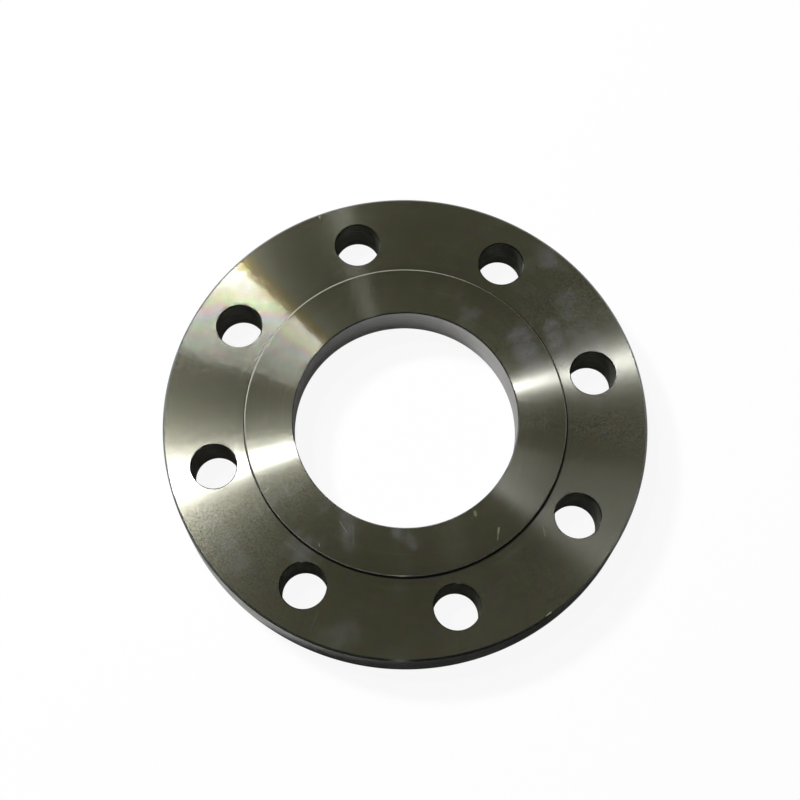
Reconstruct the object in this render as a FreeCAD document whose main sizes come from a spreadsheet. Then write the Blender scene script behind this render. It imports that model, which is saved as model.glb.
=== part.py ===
"""Raised-face plate flange for welding to a pipe, turned and drilled from one piece of steel.

Millimetres. The origin is the centre of the back face, which the flange lies on, and +Z runs
along the bore towards the raised face. The bolt holes straddle the X and Y axes.
"""
import FreeCAD, Part
import math
import os
import Sketcher

doc = FreeCAD.newDocument("plate_flange")

# Driving dimensions, each with its name, size and meaning. The flange grows outwards from its
# bore: raised face 156 across, bolt circle 190, rim 235.
DIMENSIONS = [
    ("bore_dia", 109, "bore, which slips over a 108 pipe"),
    ("face_width", 23.5, "raised gasket face, from the bore out to its step"),
    ("bolt_offset", 17, "from the step out to the bolt circle, room for a 20 nut"),
    ("rim_width", 22.5, "from the bolt circle out to the rim"),
    ("plate_thick", 24, "from the back face up to the flange face"),
    ("face_height", 2, "raised face above the flange face"),
    ("bolt_hole_dia", 22, "bolt hole, clear of a 20 bolt"),
    ("bolt_hole_count", 8, "bolt holes, evenly spaced"),
    ("bevel_width", 5, "weld bevel at the back of the bore, along the radius"),
    ("bevel_angle", 45, "weld bevel to the bore's axis, in degrees"),
    ("rim_chamfer", 1, "turned chamfer on both edges of the rim"),
    ("root_radius", 0.8, "tool radius left in the root of the raised face's step"),
    ("face_edge_break", 0.5, "broken edge round the top of the raised face's step"),
    ("bore_edge_break", 0.5, "broken edge where the bore meets the raised face"),
    ("hole_edge_break", 0.5, "deburred edge at both ends of every bolt hole"),
]
sizes = doc.addObject("Spreadsheet::Sheet", "sizes")
for row, (name, value, meaning) in enumerate(DIMENSIONS, start=1):
    sizes.set(f"A{row}", meaning)
    sizes.set(f"B{row}", str(value))
    sizes.setAlias(f"B{row}", name)
doc.recompute()

flange = doc.addObject("PartDesign::Body", "flange")
flange.Label = "flange"
flange.Placement = FreeCAD.Placement()

# How a sketch numbers its origin, its horizontal axis and the points of a line or a circle.
ORIGIN_POINT = (-1, 1)
HORIZONTAL_AXIS = -1
START, END, CENTRE = 1, 2, 3

# Two sizes that differ by less than this are the same size.
TOLERANCE = 1e-4


def origin_feature(role):
    """The body's own origin plane or axis that has this role."""
    return next(item for item in flange.Origin.OriginFeatures if item.Role == role)


def new_sketch(name, plane_role):
    """An empty sketch, flat on one of the body's origin planes."""
    sketch = flange.newObject("Sketcher::SketchObject", name)
    sketch.AttachmentSupport = [(origin_feature(plane_role), "")]
    sketch.MapMode = "FlatFace"
    return sketch


def constrain(sketch, name, expression, kind, *places):
    """A driving constraint with a name, bound to the sheet by its expression."""
    number = sketch.addConstraint(Sketcher.Constraint(kind, *places))
    sketch.renameConstraint(number, name)
    sketch.setExpression(f"Constraints.{name}", expression)


def circular_edges(shape, radius, *heights):
    """Names of the full circles of this radius that lie at one of these heights."""
    found = []
    for number, edge in enumerate(shape.Edges, start=1):
        if not isinstance(edge.Curve, Part.Circle) or len(edge.Vertexes) != 1:
            continue
        if not math.isclose(edge.Curve.Radius, radius, abs_tol=TOLERANCE):
            continue
        if any(math.isclose(edge.Curve.Center.z, height, abs_tol=TOLERANCE) for height in heights):
            found.append(f"Edge{number}")
    return found


def dress_edges(kind, name, edges, property_name, size_name):
    """A chamfer or fillet on edges of the body's newest feature, sized by the sheet."""
    feature = flange.newObject(f"PartDesign::{kind}", name)
    feature.Base = (feature.BaseFeature, edges)
    feature.setExpression(property_name, f"sizes.{size_name}")
    doc.recompute()
    return feature


# The turned section, one half of the flange cut through its axis: back face, rim, flange face,
# step, raised face, bore and weld bevel, in that order round the outline.
bore_radius = sizes.bore_dia / 2
face_radius = bore_radius + sizes.face_width
bolt_radius = face_radius + sizes.bolt_offset
outer_radius = bolt_radius + sizes.rim_width
full_height = sizes.plate_thick + sizes.face_height
bevel_height = sizes.bevel_width / math.tan(math.radians(sizes.bevel_angle))
corners = [
    (bore_radius + sizes.bevel_width, 0),
    (outer_radius, 0),
    (outer_radius, sizes.plate_thick),
    (face_radius, sizes.plate_thick),
    (face_radius, full_height),
    (bore_radius, full_height),
    (bore_radius, bevel_height),
]
section = new_sketch("section", "XZ_Plane")
points = [FreeCAD.Vector(radius, height, 0) for radius, height in corners]
back, rim, flange_face, step, raised_face, bore, bevel = [
    section.addGeometry(Part.LineSegment(start, end), False)
    for start, end in zip(points, points[1:] + points[:1])
]
outline = [back, rim, flange_face, step, raised_face, bore, bevel]
for line, following in zip(outline, outline[1:] + outline[:1]):
    section.addConstraint(Sketcher.Constraint("Coincident", line, END, following, START))
for line in (back, flange_face, raised_face):
    section.addConstraint(Sketcher.Constraint("Horizontal", line))
for line in (rim, step, bore):
    section.addConstraint(Sketcher.Constraint("Vertical", line))
section.addConstraint(Sketcher.Constraint("PointOnObject", back, START, HORIZONTAL_AXIS))
constrain(section, "bore_radius", "sizes.bore_dia / 2",
          "DistanceX", *ORIGIN_POINT, bore, START, bore_radius)
constrain(section, "face_width", "sizes.face_width",
          "DistanceX", raised_face, END, raised_face, START, sizes.face_width)
constrain(section, "outer_width", "sizes.bolt_offset + sizes.rim_width",
          "DistanceX", flange_face, END, flange_face, START, sizes.bolt_offset + sizes.rim_width)
constrain(section, "plate_thick", "sizes.plate_thick",
          "DistanceY", *ORIGIN_POINT, flange_face, START, sizes.plate_thick)
constrain(section, "face_height", "sizes.face_height",
          "DistanceY", step, START, step, END, sizes.face_height)
constrain(section, "bevel_width", "sizes.bevel_width",
          "DistanceX", bevel, START, bevel, END, sizes.bevel_width)
constrain(section, "bevel_height", "sizes.bevel_width / tan(sizes.bevel_angle)",
          "DistanceY", *ORIGIN_POINT, bevel, START, bevel_height)

turned_blank = flange.newObject("PartDesign::Revolution", "turned_blank")
turned_blank.Profile = section
turned_blank.ReferenceAxis = (section, ["V_Axis"])
turned_blank.Angle = 360
doc.recompute()

# The edges that the lathe leaves: the step's root is as round as the tool, the others are broken.
dress_edges("Fillet", "step_root",
            circular_edges(flange.Shape, face_radius, sizes.plate_thick),
            "Radius", "root_radius")
dress_edges("Chamfer", "rim_edges",
            circular_edges(flange.Shape, outer_radius, 0, sizes.plate_thick),
            "Size", "rim_chamfer")
dress_edges("Chamfer", "step_edge",
            circular_edges(flange.Shape, face_radius, full_height),
            "Size", "face_edge_break")
dress_edges("Chamfer", "bore_edge",
            circular_edges(flange.Shape, bore_radius, full_height),
            "Size", "bore_edge_break")

# The first bolt hole stands half a pitch off the X axis, drilled down through the flange face.
half_pitch = math.pi / sizes.bolt_hole_count
hole_radius = sizes.bolt_hole_dia / 2
centre = FreeCAD.Vector(math.cos(half_pitch), math.sin(half_pitch), 0) * bolt_radius
hole_place = new_sketch("hole_place", "XY_Plane")
hole_place.setExpression("AttachmentOffset.Base.z", "sizes.plate_thick")
spoke = hole_place.addGeometry(Part.LineSegment(FreeCAD.Vector(), centre), True)
mouth = hole_place.addGeometry(
    Part.Circle(centre, FreeCAD.Vector(0, 0, 1), hole_radius), False)
hole_place.addConstraint(Sketcher.Constraint("Coincident", spoke, START, *ORIGIN_POINT))
hole_place.addConstraint(Sketcher.Constraint("Coincident", spoke, END, mouth, CENTRE))
constrain(hole_place, "bolt_radius",
          "sizes.bore_dia / 2 + sizes.face_width + sizes.bolt_offset",
          "Distance", spoke, bolt_radius)
constrain(hole_place, "half_pitch", "180 deg / sizes.bolt_hole_count",
          "Angle", spoke, half_pitch)
constrain(hole_place, "hole_radius", "sizes.bolt_hole_dia / 2",
          "Radius", mouth, hole_radius)
doc.recompute()

drilled_hole = flange.newObject("PartDesign::Hole", "drilled_hole")
drilled_hole.Profile = hole_place
doc.recompute()
drilled_hole.DepthType = "ThroughAll"
drilled_hole.setExpression("Diameter", "sizes.bolt_hole_dia")
doc.recompute()

bolt_holes = flange.newObject("PartDesign::PolarPattern", "bolt_holes")
bolt_holes.Originals = [drilled_hole]
bolt_holes.Axis = (origin_feature("Z_Axis"), [""])
bolt_holes.Angle = 360
bolt_holes.setExpression("Occurrences", "sizes.bolt_hole_count")
flange.Tip = bolt_holes
doc.recompute()

dress_edges("Chamfer", "hole_edges",
            circular_edges(flange.Shape, hole_radius, 0, sizes.plate_thick),
            "Size", "hole_edge_break")

# Nothing is written unless every feature holds and the flange is one sound solid.
for item in doc.Objects:
    if "Invalid" in item.State or "Error" in item.State:
        raise RuntimeError(f"{item.Name} failed: {item.State}")
if flange.Shape.isNull() or not flange.Shape.isValid() or len(flange.Shape.Solids) != 1:
    raise RuntimeError("the flange is not one valid solid")

os.makedirs("parts", exist_ok=True)
flange.Shape.exportStep(f"parts/{flange.Label}.step")
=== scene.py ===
"""Looks of the raised-face plate flange in the photograph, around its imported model, in metres.

The flange lies on its back on a pale floor, with its raised face up, its bore along Z and the
camera leaning over it. Its one piece of turned steel is built here with the same sizes as the
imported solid, and finished with the lathe's and the drill's own surfaces.
"""
import math

import bpy
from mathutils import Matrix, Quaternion, Vector


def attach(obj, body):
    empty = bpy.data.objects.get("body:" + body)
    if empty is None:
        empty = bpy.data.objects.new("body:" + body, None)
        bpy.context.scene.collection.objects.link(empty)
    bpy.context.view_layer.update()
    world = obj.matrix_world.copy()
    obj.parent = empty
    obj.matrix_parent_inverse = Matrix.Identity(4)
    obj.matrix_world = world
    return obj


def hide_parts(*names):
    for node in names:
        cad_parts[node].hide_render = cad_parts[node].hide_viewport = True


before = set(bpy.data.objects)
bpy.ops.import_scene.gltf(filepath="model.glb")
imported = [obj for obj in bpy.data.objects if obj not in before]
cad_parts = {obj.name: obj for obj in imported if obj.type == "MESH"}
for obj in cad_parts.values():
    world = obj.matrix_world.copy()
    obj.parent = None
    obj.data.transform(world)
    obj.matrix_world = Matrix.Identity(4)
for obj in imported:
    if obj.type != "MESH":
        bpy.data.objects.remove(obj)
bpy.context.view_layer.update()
bpy.ops.object.select_all(action="DESELECT")

scene = bpy.context.scene
scene.view_settings.view_transform = "Standard"

# ---------------------------------------------------------------------------------------------
# Camera: leans over the flange from just in front of it, 71 degrees above the floor, and is
# turned a little on its own axis. The picture is square, and the lens counts across its width.
# ---------------------------------------------------------------------------------------------
camera_place = Vector((0.02207, -0.23787, 0.75964))
camera_aim = Vector((-0.00397, 0.00933, 0.024))
camera_roll = math.radians(1.919)

lens = bpy.data.cameras.new("camera")
lens.sensor_width = 36
lens.lens = 71.815
lens.clip_start = 0.01
camera = bpy.data.objects.new("camera", lens)
camera.location = camera_place
camera.rotation_mode = "QUATERNION"
look = (camera_aim - camera_place).to_track_quat("-Z", "Y")
camera.rotation_quaternion = look @ Quaternion((0, 0, 1), camera_roll)
scene.collection.objects.link(camera)
scene.camera = camera

# ---------------------------------------------------------------------------------------------
# Lamps: a small far key high on the left with a soft glow to both sides of it, a strip at the
# back left that fades to one end, a thin line, and a low one in front for the edges there. The
# broad fill lights the floor and what is matt, and doesn't mirror in the steel.
# ---------------------------------------------------------------------------------------------
lamps = [
    # name, azimuth and elevation in degrees, distance, width, height, watts, seen in the steel
    ("key", 155.3, 67.4, 4.0, 0.065, 0.098, 30.4, True),
    ("key_glow", 155.3, 67.4, 4.02, 0.521, 0.098, 3.59, True),
    ("back_strip_bright", 126.1, 52.2, 1.363, 0.070, 0.037, 0.93, True),
    ("back_strip_middle", 131.1, 52.4, 1.363, 0.070, 0.037, 0.57, True),
    ("back_strip_soft", 136.1, 52.2, 1.363, 0.070, 0.037, 0.451, True),
    ("back_strip_dim", 141.1, 51.8, 1.363, 0.070, 0.037, 0.417, True),
    ("line", 104.0, 59.2, 1.5, 0.016, 0.20, 0.018, True),
    ("low_front", 277.0, 11, 1.5, 0.035, 0.14, 0.045, True),
    ("fill", 151, 47, 2.0, 0.25, 0.25, 39.0, False),
]
for name, azimuth, elevation, distance, width, height, watts, in_steel in lamps:
    lamp = bpy.data.lights.new(name, "AREA")
    lamp.shape = "RECTANGLE"
    lamp.size = width
    lamp.size_y = height
    lamp.energy = watts
    place = Vector((
        math.cos(math.radians(elevation)) * math.cos(math.radians(azimuth)),
        math.cos(math.radians(elevation)) * math.sin(math.radians(azimuth)),
        math.sin(math.radians(elevation)))) * distance
    stand = bpy.data.objects.new(name, lamp)
    stand.location = place
    stand.rotation_mode = "QUATERNION"
    stand.rotation_quaternion = (-place).to_track_quat("-Z", "Y")
    stand.visible_glossy = in_steel
    scene.collection.objects.link(stand)


# ---------------------------------------------------------------------------------------------
# Room and floor: a pale backdrop seen over a plain white board, in a dim room. The steel sees
# the backdrop too, low along the floor, and the board keeps the flange's shadow.
# ---------------------------------------------------------------------------------------------
def add_node(tree, kind, fed=None, **settings):
    """A new node, with its settings, and its sockets set or linked."""
    node = tree.nodes.new(kind)
    for setting, value in settings.items():
        setattr(node, setting, value)
    for socket, value in (fed or {}).items():
        if isinstance(value, bpy.types.NodeSocket):
            tree.links.new(value, node.inputs[socket])
        else:
            node.inputs[socket].default_value = value
    return node


room_light = 0.025
wall_light = 0.006
backdrop_light = 0.85
world = bpy.data.worlds.new("dim_room")
world.use_nodes = True
tree = world.node_tree
around = add_node(tree, "ShaderNodeTexCoord")
direction = add_node(tree, "ShaderNodeSeparateXYZ", {0: around.outputs["Generated"]})
backdrop_top = add_node(tree, "ShaderNodeMapRange", {
    "Value": direction.outputs["Y"], "From Min": 0.1, "From Max": 0.6,
    "To Min": 0.05, "To Max": 0.42}, interpolation_type="SMOOTHSTEP")
backdrop_band = add_node(tree, "ShaderNodeMapRange", {
    "Value": direction.outputs["Z"], "From Min": 0.01, "From Max": backdrop_top.outputs["Result"],
    "To Min": backdrop_light, "To Max": 0}, interpolation_type="SMOOTHSTEP")
backdrop_side = add_node(tree, "ShaderNodeMapRange", {
    "Value": direction.outputs["X"], "From Min": -0.1, "From Max": 0.5,
    "To Min": 1, "To Max": 0.05}, interpolation_type="SMOOTHSTEP")
backdrop = add_node(tree, "ShaderNodeMath", {
    0: backdrop_band.outputs["Result"], 1: backdrop_side.outputs["Result"]},
    operation="MULTIPLY")
ceiling = add_node(tree, "ShaderNodeMapRange", {
    "Value": direction.outputs["Z"], "From Min": 0.4, "From Max": 0.6,
    "To Min": wall_light, "To Max": room_light}, interpolation_type="SMOOTHSTEP")
seen_by = add_node(tree, "ShaderNodeLightPath")
to_steel = add_node(tree, "ShaderNodeMath", {
    0: seen_by.outputs["Is Glossy Ray"], 1: backdrop.outputs[0]}, operation="MULTIPLY")
shown = add_node(tree, "ShaderNodeMath", {
    0: seen_by.outputs["Is Camera Ray"], 1: to_steel.outputs[0]}, operation="MAXIMUM")
strength = add_node(tree, "ShaderNodeMath", {
    0: shown.outputs[0], 1: ceiling.outputs["Result"]}, operation="MAXIMUM")
tree.nodes["Background"].inputs["Color"].default_value = (1, 1, 1, 1)
tree.links.new(strength.outputs[0], tree.nodes["Background"].inputs["Strength"])
scene.world = world

bpy.ops.mesh.primitive_circle_add(vertices=96, radius=40, fill_type="NGON")
floor = bpy.context.object
floor.name = "floor"
board_white_to_camera = 0.92
board_white_to_steel = 0.04
board = bpy.data.materials.new("white_board")
board.use_nodes = True
tree = board.node_tree
tree.nodes.clear()
matt = add_node(tree, "ShaderNodeBsdfDiffuse", {"Color": (0.9, 0.9, 0.9, 1)})
plain_white = add_node(tree, "ShaderNodeEmission", {"Strength": 1})
seen_by = add_node(tree, "ShaderNodeLightPath")
to_camera = add_node(tree, "ShaderNodeMath", {
    0: seen_by.outputs["Is Camera Ray"], 1: board_white_to_camera}, operation="MULTIPLY")
to_steel = add_node(tree, "ShaderNodeMath", {
    0: seen_by.outputs["Is Glossy Ray"], 1: board_white_to_steel}, operation="MULTIPLY")
share = add_node(tree, "ShaderNodeMath", {0: to_camera.outputs[0], 1: to_steel.outputs[0]},
                 operation="MAXIMUM")
blend = add_node(tree, "ShaderNodeMixShader", {
    "Fac": share.outputs[0], 1: matt.outputs["BSDF"], 2: plain_white.outputs["Emission"]})
add_node(tree, "ShaderNodeOutputMaterial", {"Surface": blend.outputs["Shader"]})
floor.data.materials.append(board)

# ---------------------------------------------------------------------------------------------
# Flange: one ring of steel plate, turned all over on a lathe, then drilled with eight bolt
# holes and deburred. The half section is drawn as it stands on the X axis and turned about Z.
# ---------------------------------------------------------------------------------------------
bore_radius = 0.0545
face_radius = 0.078
bolt_circle_radius = 0.095
outer_radius = 0.1175
plate_thickness = 0.024
face_height = 0.002
weld_bevel = 0.005
rim_chamfer = 0.001
root_radius = 0.0008
edge_break = 0.0005
full_height = plate_thickness + face_height
turned_steps = 384
near = 1e-5


def select_vertices(mesh, is_wanted):
    """Selects only the vertices whose place passes the test."""
    bpy.ops.mesh.select_all(action="DESELECT")
    bpy.ops.object.mode_set(mode="OBJECT")
    for vertex in mesh.vertices:
        vertex.select = is_wanted(vertex.co)
    bpy.ops.object.mode_set(mode="EDIT")


def bevel_corner(mesh, radius, height, width, segments=1):
    """Cuts one corner of the half section back by a width, straight or round."""
    select_vertices(mesh, lambda place: (abs(place.x - radius) < near
                                         and abs(place.z - height) < near))
    bpy.ops.mesh.bevel(offset=width, segments=segments, affect="VERTICES")


bpy.ops.object.select_all(action="DESELECT")
bpy.ops.mesh.primitive_plane_add(
    size=plate_thickness,
    location=((bore_radius + outer_radius) / 2, 0, plate_thickness / 2),
    rotation=(math.pi / 2, 0, 0))
flange = bpy.context.object
flange.name = "turned_flange"
flange.data.name = "turned_flange"
flange.scale.x = (outer_radius - bore_radius) / plate_thickness
bpy.ops.object.transform_apply(location=True, rotation=True, scale=True)
section = flange.data

bpy.ops.object.mode_set(mode="EDIT")
bpy.ops.mesh.select_mode(type="VERT")
bpy.ops.mesh.bisect(plane_co=(face_radius, 0, 0), plane_no=(1, 0, 0))
select_vertices(section, lambda place: (place.x < face_radius + near
                                        and place.z > plate_thickness - near))
bpy.ops.mesh.extrude_region_move(TRANSFORM_OT_translate={"value": (0, 0, face_height)})
bpy.ops.mesh.select_all(action="SELECT")
bpy.ops.mesh.dissolve_faces()
select_vertices(section, lambda place: (
    (abs(place.x - face_radius) < near and place.z < near)
    or (abs(place.x - bore_radius) < near and abs(place.z - plate_thickness) < near)))
bpy.ops.mesh.dissolve_verts()
bevel_corner(section, bore_radius, 0, weld_bevel)
bevel_corner(section, bore_radius, full_height, edge_break)
bevel_corner(section, face_radius, full_height, edge_break)
bevel_corner(section, face_radius, plate_thickness, root_radius, segments=5)
bevel_corner(section, outer_radius, plate_thickness, rim_chamfer)
bevel_corner(section, outer_radius, 0, rim_chamfer)
bpy.ops.mesh.select_all(action="SELECT")
bpy.ops.mesh.delete(type="ONLY_FACE")
bpy.ops.mesh.select_all(action="SELECT")
bpy.ops.mesh.spin(steps=turned_steps, angle=math.tau, center=(0, 0, 0), axis=(0, 0, 1),
                  use_auto_merge=True)
bpy.ops.mesh.select_all(action="SELECT")
bpy.ops.mesh.remove_doubles(threshold=near)
bpy.ops.mesh.normals_make_consistent(inside=False)
bpy.ops.object.mode_set(mode="OBJECT")

# A dividing head turns the flange under the drill: the same cutter goes through eight times. Its
# flared ends leave the deburred edges.
hole_radius = 0.011
hole_count = 8
first_hole_angle = math.pi / hole_count
hole_steps = 96
flare = 0.001
bpy.ops.mesh.primitive_cylinder_add(
    vertices=hole_steps, radius=hole_radius, depth=plate_thickness - 2 * edge_break,
    location=(bolt_circle_radius * math.cos(first_hole_angle),
              bolt_circle_radius * math.sin(first_hole_angle), plate_thickness / 2))
drill = bpy.context.object
drill.name = "drill"
bpy.ops.object.transform_apply(location=True, rotation=True, scale=True)
bpy.ops.object.mode_set(mode="EDIT")
for end, way in ((plate_thickness - edge_break, 1), (edge_break, -1)):
    select_vertices(drill.data, lambda place: abs(place.z - end) < near)
    bpy.ops.mesh.extrude_region_move(
        TRANSFORM_OT_translate={"value": (0, 0, way * (edge_break + flare))})
    wider = (hole_radius + edge_break + flare) / hole_radius
    bpy.ops.transform.resize(value=(wider, wider, 1))
bpy.ops.mesh.select_all(action="SELECT")
bpy.ops.mesh.normals_make_consistent(inside=False)
bpy.ops.object.mode_set(mode="OBJECT")
for hole in range(hole_count):
    bpy.ops.object.select_all(action="DESELECT")
    flange.select_set(True)
    bpy.context.view_layer.objects.active = flange
    drilling = flange.modifiers.new("drilling", "BOOLEAN")
    drilling.operation = "DIFFERENCE"
    drilling.solver = "EXACT"
    drilling.object = drill
    bpy.ops.object.modifier_apply(modifier="drilling")
    bpy.ops.object.select_all(action="DESELECT")
    drill.select_set(True)
    bpy.context.view_layer.objects.active = drill
    bpy.ops.object.mode_set(mode="EDIT")
    bpy.ops.mesh.select_all(action="SELECT")
    bpy.ops.transform.rotate(value=math.tau / hole_count, orient_axis="Z",
                             center_override=(0, 0, 0))
    bpy.ops.object.mode_set(mode="OBJECT")
bpy.data.objects.remove(drill)
bpy.ops.object.select_all(action="DESELECT")
flange.select_set(True)
bpy.context.view_layer.objects.active = flange
bpy.ops.object.shade_smooth_by_angle(angle=math.radians(30))
flat_faces = flange.modifiers.new("flat_faces", "WEIGHTED_NORMAL")
flat_faces.keep_sharp = True
flat_faces.weight = 100
bpy.ops.object.modifier_apply(modifier="flat_faces")


class SteelFinish:
    """One finish of the flange's steel: its nodes, and the directions that the lathe gave it."""

    def __init__(self, name):
        self.material = bpy.data.materials.new(name)
        self.material.use_nodes = True
        self.tree = self.material.node_tree
        self.tree.nodes.clear()
        self.place = self.add("ShaderNodeTexCoord").outputs["Object"]
        flat = self.vector("MULTIPLY", self.place, (1, 1, 0))
        self.radius = self.add("ShaderNodeVectorMath", {0: flat},
                               operation="LENGTH").outputs["Value"]
        self.outward = self.vector("NORMALIZE", flat)
        self.groove = self.vector("CROSS_PRODUCT", (0, 0, 1), self.outward)

    def add(self, kind, fed=None, **settings):
        return add_node(self.tree, kind, fed, **settings)

    def number(self, operation, *values):
        return self.add("ShaderNodeMath", dict(enumerate(values)),
                        operation=operation).outputs[0]

    def vector(self, operation, *values):
        return self.add("ShaderNodeVectorMath", dict(enumerate(values)),
                        operation=operation).outputs["Vector"]

    def scaled(self, vector, size):
        return self.add("ShaderNodeVectorMath", {0: vector, "Scale": size},
                        operation="SCALE").outputs["Vector"]

    def ranged(self, value, low, high, to_low, to_high, curve="LINEAR"):
        return self.add("ShaderNodeMapRange", {
            "Value": value, "From Min": low, "From Max": high,
            "To Min": to_low, "To Max": to_high}, interpolation_type=curve).outputs["Result"]

    def turned_noise(self, round_cells, across_cells, detail):
        """Noise whose cells follow the grooves: this many to the radian, and to the metre."""
        upright = self.add("ShaderNodeCombineXYZ", {"Z": self.radius}).outputs["Vector"]
        wrapped = self.vector("ADD", self.outward, upright)
        spread = self.vector("MULTIPLY", wrapped, (round_cells, round_cells, across_cells))
        return self.add("ShaderNodeTexNoise", {"Vector": spread, "Scale": 1, "Detail": detail})

    def spread_noise(self, cells, detail):
        """Noise with this many cells to the metre along X, Y and Z."""
        spread = self.vector("MULTIPLY", self.place, cells)
        noise = self.add("ShaderNodeTexNoise", {"Vector": spread, "Scale": 1, "Detail": detail})
        return noise.outputs["Fac"]

    def ramp(self, value, stops):
        """Colours at places from 0 to 1."""
        node = self.add("ShaderNodeValToRGB", {"Fac": value})
        marks = node.color_ramp.elements
        marks[0].position, marks[1].position = stops[0][0], stops[-1][0]
        marks[0].color, marks[1].color = (*stops[0][1], 1), (*stops[-1][1], 1)
        for at, colour in stops[1:-1]:
            marks.new(at).color = (*colour, 1)
        return node.outputs["Color"]

    def blended(self, share, first, second):
        mix = self.add("ShaderNodeMix", {0: share, 6: first, 7: second}, data_type="RGBA")
        return mix.outputs[2]

    def grooved_metal(self, colour, along, across, distribution="GGX"):
        """Glossy steel with fine grooves, by its roughness along them and across them."""
        ratio = math.sqrt(along / across)
        sockets = {"Color": colour, "Tangent": self.groove,
                   "Roughness": (along * across) ** 0.25,
                   "Anisotropy": 1 - ratio if ratio < 1 else 1 / ratio - 1}
        return self.add("ShaderNodeBsdfAnisotropic", sockets,
                        distribution=distribution).outputs["BSDF"]

    def matt(self, colour):
        return self.add("ShaderNodeBsdfDiffuse", {"Color": colour}).outputs["BSDF"]

    def mixed(self, share, first, second):
        """Two surfaces, with this share of the second."""
        return self.add("ShaderNodeMixShader",
                        {"Fac": share, 1: first, 2: second}).outputs["Shader"]

    def finished(self, surface):
        self.add("ShaderNodeOutputMaterial", {"Surface": surface})
        return self.material


# Turned faces: bare bright steel under a trace of oil. The lathe's grooves fan each lamp out
# into spokes, with a fine grain in them, and a few of its passes stand out as rings. Painted
# rainbow colours, fixed where the back left spokes fall, stand in for the light that the grooves
# split there, and handling has left small marks.
face = SteelFinish("turned_steel_face")
place = face.add("ShaderNodeSeparateXYZ", {0: face.place})
azimuth = face.number("ARCTAN2", place.outputs["Y"], place.outputs["X"])
arcs = face.turned_noise(2.5, 1100, 2).outputs["Fac"]
clouds = face.turned_noise(5, 50, 4).outputs["Fac"]
patches = face.turned_noise(14, 160, 2).outputs["Fac"]
rainbow_patches = face.turned_noise(9, 150, 2).outputs["Fac"]
sparkle = face.turned_noise(110, 1250, 1)
rainbow_mottle = face.turned_noise(60, 700, 1).outputs["Color"]
outside = face.number("GREATER_THAN", face.radius, face_radius)

# The painted rainbow runs from gold at its edge to violet; its colours lean across the flange
# face.
rainbow_start = math.radians(142.3)
rainbow_middle = math.radians(157.3)
rainbow_end = math.radians(172.3)
rainbow_half = math.radians(16)
rainbow_fade = math.radians(2.5)
rainbow_place = face.ranged(azimuth, rainbow_start, rainbow_end, 0, 1)
off_middle = face.number("ABSOLUTE", face.number("SUBTRACT", azimuth, rainbow_middle))
painted_rainbow_depth = face.ranged(off_middle, rainbow_half, rainbow_half + rainbow_fade, 1, 0, "SMOOTHSTEP")
lean = face.ranged(face.radius, face_radius, outer_radius, 0.46, 0)
lean = face.add("ShaderNodeMix", {0: outside, 2: 0.2, 3: lean}).outputs[0]
wobble = face.ranged(rainbow_patches, 0.25, 0.75, -0.07, 0.07)
rainbow_shade = face.number("ADD", face.number("ADD", rainbow_place, lean), wobble)
# painted reflection colours: a rainbow fixed in the band where the back left spokes fall
painted_rainbow = face.ramp(rainbow_shade, [
    (0.0, (1, 0.84, 0.45)), (0.07, (1, 0.9, 0.58)), (0.13, (1, 1, 1)), (0.3, (1, 0.99, 0.97)),
    (0.38, (1, 0.92, 0.8)), (0.44, (0.97, 1, 0.82)), (0.485, (0.84, 1, 0.76)),
    (0.53, (1, 0.94, 0.76)), (0.57, (1, 0.8, 0.86)), (0.62, (0.86, 0.84, 1)),
    (0.7, (0.9, 1, 0.93)), (0.77, (1, 0.96, 0.88)), (0.84, (0.96, 0.9, 1)),
    (0.92, (0.9, 1, 0.95)), (1.0, (1, 1, 1))])
gold = (1, 0.84, 0.5, 1)
bare = (1, 1, 1, 1)
gold_edge = face.ranged(azimuth, math.radians(142.5), math.radians(146), 0.85, 0, "SMOOTHSTEP")
painted_rainbow = face.blended(gold_edge, painted_rainbow, gold)
painted_rainbow = face.blended(painted_rainbow_depth, bare, painted_rainbow)

# Brightness: how well each part of the faces throws light back. The raised face does it best
# at the bore, the flange face at the rim and on the right; the extra on the right, where the
# right spoke falls, is a painted highlight.
to_right = face.add("ShaderNodeSeparateXYZ", {0: face.outward}).outputs["X"]
to_right = face.ranged(to_right, 0.3, 0.9, 0, 1, "SMOOTHSTEP")
on_step_side = face.ranged(face.radius, bore_radius, face_radius, 1.187, 0.85)
# painted highlight: the flange face throws back more light toward the right, under the right
# spoke
rim_side = face.ranged(to_right, 0, 1, 1.13, 1.3)
on_rim_side = face.ranged(face.radius, face_radius, outer_radius, 0.9, rim_side)
brightness = face.add("ShaderNodeMix", {0: outside, 2: on_step_side, 3: on_rim_side}).outputs[0]
arc_depth = face.ranged(painted_rainbow_depth, 0, 1, 0.14, 0.4)
arc_light = face.number("MULTIPLY_ADD", face.number("SUBTRACT", arcs, 0.5), arc_depth, 1.0)
brightness = face.number("MULTIPLY", brightness, arc_light)
rings = [
    # radius, half width, extra light
    (0.0596, 0.0005, 0.3),
    (0.0675, 0.0004, 0.4),
    (0.0832, 0.0014, 0.25),
    (0.0947, 0.0005, 0.2),
]
for ring_radius, half_width, extra in rings:
    off_ring = face.number("ABSOLUTE", face.number("SUBTRACT", face.radius, ring_radius))
    ring = face.ranged(off_ring, 0, half_width, extra, 0, "SMOOTHSTEP")
    ring = face.number("MULTIPLY", ring, face.ranged(clouds, 0.4, 0.7, 0.1, 1))
    brightness = face.number("MULTIPLY", brightness, face.number("ADD", ring, 1.0))
tint = face.scaled(painted_rainbow, brightness)
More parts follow.
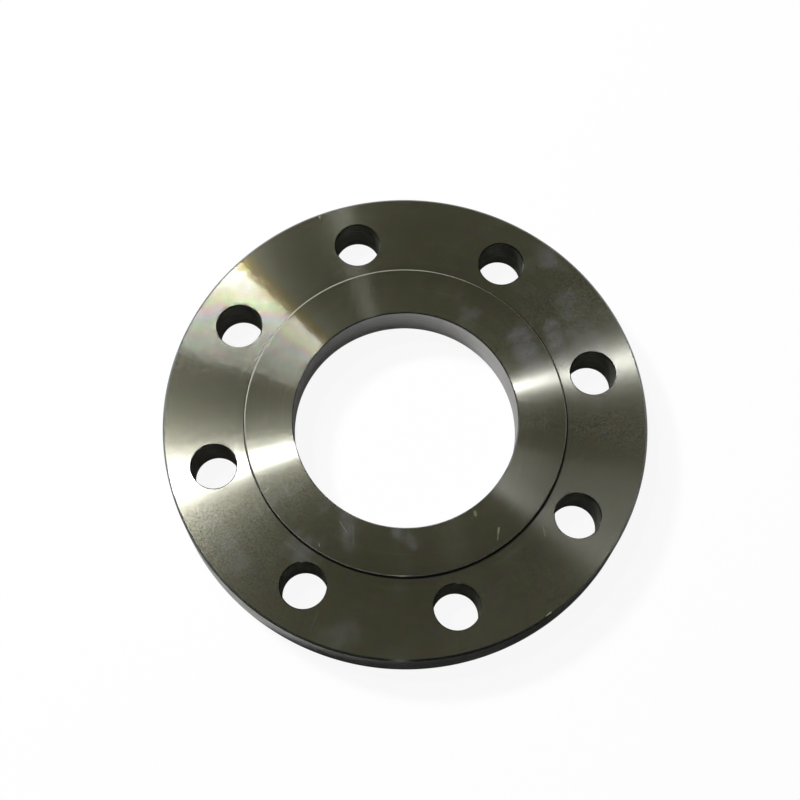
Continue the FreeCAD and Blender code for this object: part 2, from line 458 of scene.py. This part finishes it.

# Grain: each spot has its own mix of fine grooves and coarse ones, and its own tint. It is
# stronger on the right and in the painted rainbow band, where the colours are mottled too.
quiet_grain = 0.6
right_grain = 1.4
rainbow_grain = 2.2
middle_grey = (0.5, 0.5, 0.5)
speck = face.number("SUBTRACT", sparkle.outputs["Fac"], 0.5)
grain_depth = face.number("MAXIMUM", face.ranged(to_right, 0, 1, quiet_grain, right_grain),
                          face.ranged(painted_rainbow_depth, 0, 1, quiet_grain, rainbow_grain))
coarse_share = face.number("MULTIPLY_ADD", speck, grain_depth,
                           face.ranged(to_right, 0, 1, 0.371, 0.24))
coarse_share = face.number("MAXIMUM", coarse_share, 0.03)
grain_tint = face.number("MULTIPLY_ADD", face.number("MULTIPLY", speck, grain_depth), 0.35, 1.0)
coloured = face.vector("SUBTRACT", sparkle.outputs["Color"], middle_grey)
coloured = face.scaled(coloured, face.ranged(painted_rainbow_depth, 0, 1, 0.06, 0.5))
mottled = face.scaled(face.vector("SUBTRACT", rainbow_mottle, middle_grey),
                      face.ranged(painted_rainbow_depth, 0, 1, 0, 0.5))
coloured = face.vector("ADD", coloured, mottled)
grain = face.scaled((1, 1, 1), grain_tint)
tint = face.vector("MULTIPLY", tint, face.vector("ADD", grain, coloured))
fine_colour = face.vector("MULTIPLY", (0.69, 0.69, 0.62), tint)
coarse_colour = face.vector("MULTIPLY", (0.7, 0.69, 0.54), tint)
fine = face.grooved_metal(fine_colour, along=0.0058, across=0.112)
coarse = face.grooved_metal(coarse_colour, along=0.027, across=0.071)
grooved = face.mixed(coarse_share, fine, coarse)

# A dull sheen lies over the grooves, and a trace of matt oil over both. The oil is olive with
# brown patches, and wiped to grey at the back right and the front left.
sheen_share = 0.21
sheen_colour = face.ramp(patches, [
    (0.32, (0.62, 0.6, 0.4)), (0.43, (0.66, 0.56, 0.28)), (0.52, (0.56, 0.6, 0.3)),
    (0.6, (0.6, 0.62, 0.3)), (0.7, (0.62, 0.6, 0.42))])
sheen = face.add("ShaderNodeBsdfAnisotropic", {
    "Color": face.vector("MULTIPLY", sheen_colour, tint), "Roughness": 0.98},
    distribution="GGX").outputs["BSDF"]
metal = face.mixed(sheen_share, grooved, sheen)
oil = face.ramp(patches, [
    (0.3, (0.26, 0.25, 0.16)), (0.42, (0.33, 0.27, 0.1)), (0.52, (0.29, 0.32, 0.08)),
    (0.62, (0.31, 0.34, 0.12)), (0.72, (0.27, 0.27, 0.2))])
back_right = (0.77, 0.64, 0)
facing = face.add("ShaderNodeVectorMath", {0: face.outward, 1: back_right},
                  operation="DOT_PRODUCT").outputs["Value"]
wiped = face.ranged(face.number("ABSOLUTE", facing), 0.72, 0.97, 0.25, 1, "SMOOTHSTEP")
greyed = face.number("MULTIPLY", wiped, face.ranged(clouds, 0.48, 0.75, 0, 1, "SMOOTHSTEP"))
wiped_grey = (0.5, 0.49, 0.52, 1)
oil = face.blended(greyed, oil, wiped_grey)
matt_share = face.ranged(greyed, 0, 1, 0.035, 0.095)

# Marks: scratches and nicks that show as short pale lines, one painted glint on the edge of the
# hole at the front left, and grey smears where the oil was wiped. Each runs from one end to the
# other, in metres.
marks = [
    # x and y of one end, x and y of the other, half width, depth
    (-0.0619, -0.0464, -0.0596, -0.0439, 0.0003, 0.45),
    (-0.0237, -0.0556, -0.0199, -0.0600, 0.0004, 0.2),
    (-0.0173, -0.0567, -0.0158, -0.0657, 0.0008, 0.1),
    (-0.0319, -0.0675, -0.0316, -0.0685, 0.0005, 0.25),
    (0.0389, -0.0419, 0.0394, -0.0433, 0.0013, 0.25),
    (0.0511, -0.0481, 0.0511, -0.0505, 0.0008, 0.3),
    (0.0511, -0.0505, 0.0512, -0.0539, 0.0005, 0.2),
    (0.0719, -0.0441, 0.0733, -0.0484, 0.0005, 0.2),
    (0.0783, -0.0863, 0.0799, -0.0844, 0.0007, 0.4),
    (-0.0580, 0.1015, -0.0573, 0.0999, 0.0006, 0.4),
    # a painted glint on the edge of the hole at the front left, drawn like the scratches
    (-0.0391, -0.0768, -0.0377, -0.0769, 0.0006, 0.5),
    (0.0256, -0.0512, 0.0274, -0.0578, 0.0006, 0.07),
    (-0.0276, -0.0992, -0.0301, -0.1099, 0.0006, 0.07),
    (-0.0296, -0.1014, -0.0243, -0.1082, 0.0005, 0.05),
]
smears = [
    # x and y of one end, x and y of the other, half width, depth
    (0.0041, -0.0562, 0.0123, -0.0609, 0.00525, 0.035),
    (0.0501, 0.0499, 0.0569, 0.0371, 0.00975, 0.045),
    (0.0658, 0.0571, 0.0710, 0.0409, 0.00675, 0.06),
    (0.0728, 0.0716, 0.0829, 0.0505, 0.01125, 0.03),
    (-0.0226, -0.0471, -0.0165, -0.0659, 0.006, 0.03),
    (-0.0850, -0.0627, -0.0700, -0.0802, 0.0105, 0.025),
    (-0.0201, -0.1114, -0.0115, -0.1064, 0.009, 0.02),
]


def drawn(finish, lines):
    """How much of each line covers a spot: its depth on the line, and nothing away from it."""
    level = finish.vector("MULTIPLY", finish.place, (1, 1, 0))
    deepest = 0
    for start_x, start_y, end_x, end_y, half_width, depth in lines:
        start = Vector((start_x, start_y, 0))
        run = Vector((end_x, end_y, 0)) - start
        from_start = finish.vector("SUBTRACT", level, tuple(start))
        along = finish.add("ShaderNodeVectorMath", {
            0: from_start, 1: tuple(run / run.length_squared)}, operation="DOT_PRODUCT")
        along = finish.ranged(along.outputs["Value"], 0, 1, 0, 1)
        nearest = finish.scaled(tuple(run), along)
        off_line = finish.add("ShaderNodeVectorMath", {0: from_start, 1: nearest},
                              operation="DISTANCE").outputs["Value"]
        cover = finish.ranged(off_line, 0.2 * half_width, half_width, depth, 0, "SMOOTHSTEP")
        deepest = finish.number("MAXIMUM", cover, deepest)
    return deepest


wiping = face.turned_noise(12, 60, 1).outputs["Fac"]
smeared = face.number("MULTIPLY", drawn(face, smears), face.ranged(wiping, 0.3, 0.7, 0.3, 1.5))
smear_grey = (0.56, 0.56, 0.59, 1)
scratch_and_glint_pale = (0.8, 0.8, 0.7, 1)
oil = face.blended(face.ranged(smeared, 0, 0.04, 0, 1), oil, smear_grey)
marks_and_glint = drawn(face, marks)
oil = face.blended(marks_and_glint, oil, scratch_and_glint_pale)
matt_share = face.number("ADD", matt_share, smeared)
matt_share = face.number("MAXIMUM", matt_share, marks_and_glint)
face_steel = face.finished(face.mixed(matt_share, metal, face.matt(oil)))

# Broken edges of the bore and the holes, which a sharp straight tool left bright.
edge = SteelFinish("turned_steel_edges")
arcs = edge.turned_noise(4, 1500, 1).outputs["Fac"]
steel = edge.scaled((0.4, 0.41, 0.37), edge.ranged(arcs, 0.2, 0.8, 0.85, 1.15))
smooth_cut = edge.grooved_metal(steel, along=0.06, across=0.05)
edge_steel = edge.finished(edge.mixed(0.02, smooth_cut, edge.matt((0.1, 0.1, 0.08, 1))))

# Lip of the step: its top edge, burnished bright, with a pale matt painted highlight at the back
# left.
lip = SteelFinish("bright_lip")
burnished = lip.grooved_metal((1, 0.97, 0.86, 1), along=0.03, across=0.16)
back_left = (-0.7, 0.7, 0)
facing = lip.add("ShaderNodeVectorMath", {0: lip.outward, 1: back_left},
                 operation="DOT_PRODUCT").outputs["Value"]
# painted highlight: a pale matt share that grows toward the back left of the lip
painted_highlight_share = lip.ranged(facing, 0.2, 0.8, 0.02, 0.45, "SMOOTHSTEP")
lip_steel = lip.finished(lip.mixed(painted_highlight_share, burnished, lip.matt((0.8, 0.78, 0.68, 1))))

# Step: its low wall and root are dark, a painted shade in the crease
# at the foot of the raised face.
step = SteelFinish("step_painted_shade")
painted_dark_step = step.grooved_metal((0.1, 0.1, 0.085, 1), along=0.03, across=0.06)
step_steel = step.finished(step.mixed(0.02, painted_dark_step, step.matt((0.05, 0.05, 0.04, 1))))

# Rim and its chamfers: turned with a coarser feed, so duller than the faces, and darker too: a
# painted shade that dims what they mirror of the white floor. The upper chamfer is darker still,
# a painted dark outline round the rim.
rim = SteelFinish("turned_steel_rim")
bands = rim.spread_noise((6, 6, 700), 2)
stains = rim.spread_noise((60, 60, 60), 3)
above = rim.add("ShaderNodeSeparateXYZ", {0: rim.place}).outputs["Z"]
on_chamfer = rim.number("GREATER_THAN", above, plate_thickness - rim_chamfer)
# painted shade: the upper chamfer takes a darker colour than the wall, a dark outline round the
# rim
steel = rim.blended(on_chamfer, (0.36, 0.37, 0.35, 1), (0.19, 0.2, 0.19, 1))
steel = rim.scaled(steel, rim.ranged(bands, 0.25, 0.75, 0.75, 1.25))
steel = rim.scaled(steel, rim.ranged(stains, 0.3, 0.7, 0.8, 1.15))
darkened_rim = rim.grooved_metal(steel, along=0.03, across=0.07, distribution="BECKMANN")
rim_steel = rim.finished(rim.mixed(0.04, darkened_rim, rim.matt((0.12, 0.12, 0.1, 1))))

# Bore and weld bevel: bored to size, smooth and pale grey.
bored = SteelFinish("bored_steel")
bands = bored.spread_noise((4, 4, 900), 2)
steel = bored.scaled((0.42, 0.42, 0.41), bored.ranged(bands, 0.25, 0.75, 0.85, 1.15))
smooth_bore = bored.grooved_metal(steel, along=0.05, across=0.16)
bore_steel = bored.finished(bored.mixed(0.06, smooth_bore, bored.matt((0.2, 0.2, 0.18, 1))))

# Drilled walls: rough from the drill, and dark: a painted shade inside the holes.
drilled = SteelFinish("drilled_steel")
torn = drilled.spread_noise((120, 120, 900), 2)
steel = drilled.scaled((0.3, 0.3, 0.26), drilled.ranged(torn, 0.25, 0.75, 0.6, 1.4))
rough = drilled.add("ShaderNodeBsdfAnisotropic",
                    {"Color": steel, "Roughness": 0.5}, distribution="GGX").outputs["BSDF"]
hole_steel = drilled.finished(drilled.mixed(0.5, rough, drilled.matt((0.1, 0.1, 0.085, 1))))

# Back face: turned like the front, with no film and no marks.
back = SteelFinish("turned_steel_back")
arcs = back.turned_noise(4, 900, 2).outputs["Fac"]
steel = back.scaled((0.5, 0.5, 0.44), back.ranged(arcs, 0.2, 0.8, 0.85, 1.15))
smooth_back = back.grooved_metal(steel, along=0.02, across=0.1)
back_steel = back.finished(back.mixed(0.06, smooth_back, back.matt((0.3, 0.3, 0.2, 1))))

# Each face of the mesh takes the finish of its place on the flange.
finishes = [face_steel, edge_steel, rim_steel, bore_steel, hole_steel, step_steel, lip_steel,
            back_steel]
flat_from = 0.99
upright_below = 0.1
step_reach = 0.001


def finish_of(polygon):
    """The finish of one face of the mesh, by its place and its slope."""
    radius = polygon.center.xy.length
    height = polygon.center.z
    level = abs(polygon.normal.z)
    if level > flat_from:
        return face_steel if height > near else back_steel
    if radius < bore_radius + weld_bevel - near and height < full_height - edge_break:
        return bore_steel
    if radius > outer_radius - rim_chamfer:
        return rim_steel
    if abs(radius - face_radius) < step_reach:
        return step_steel if height < full_height - edge_break else lip_steel
    return hole_steel if level < upright_below else edge_steel


flange.data.materials.clear()
for finish in finishes:
    flange.data.materials.append(finish)
for polygon in flange.data.polygons:
    polygon.material_index = finishes.index(finish_of(polygon))

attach(flange, "root")
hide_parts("flange")
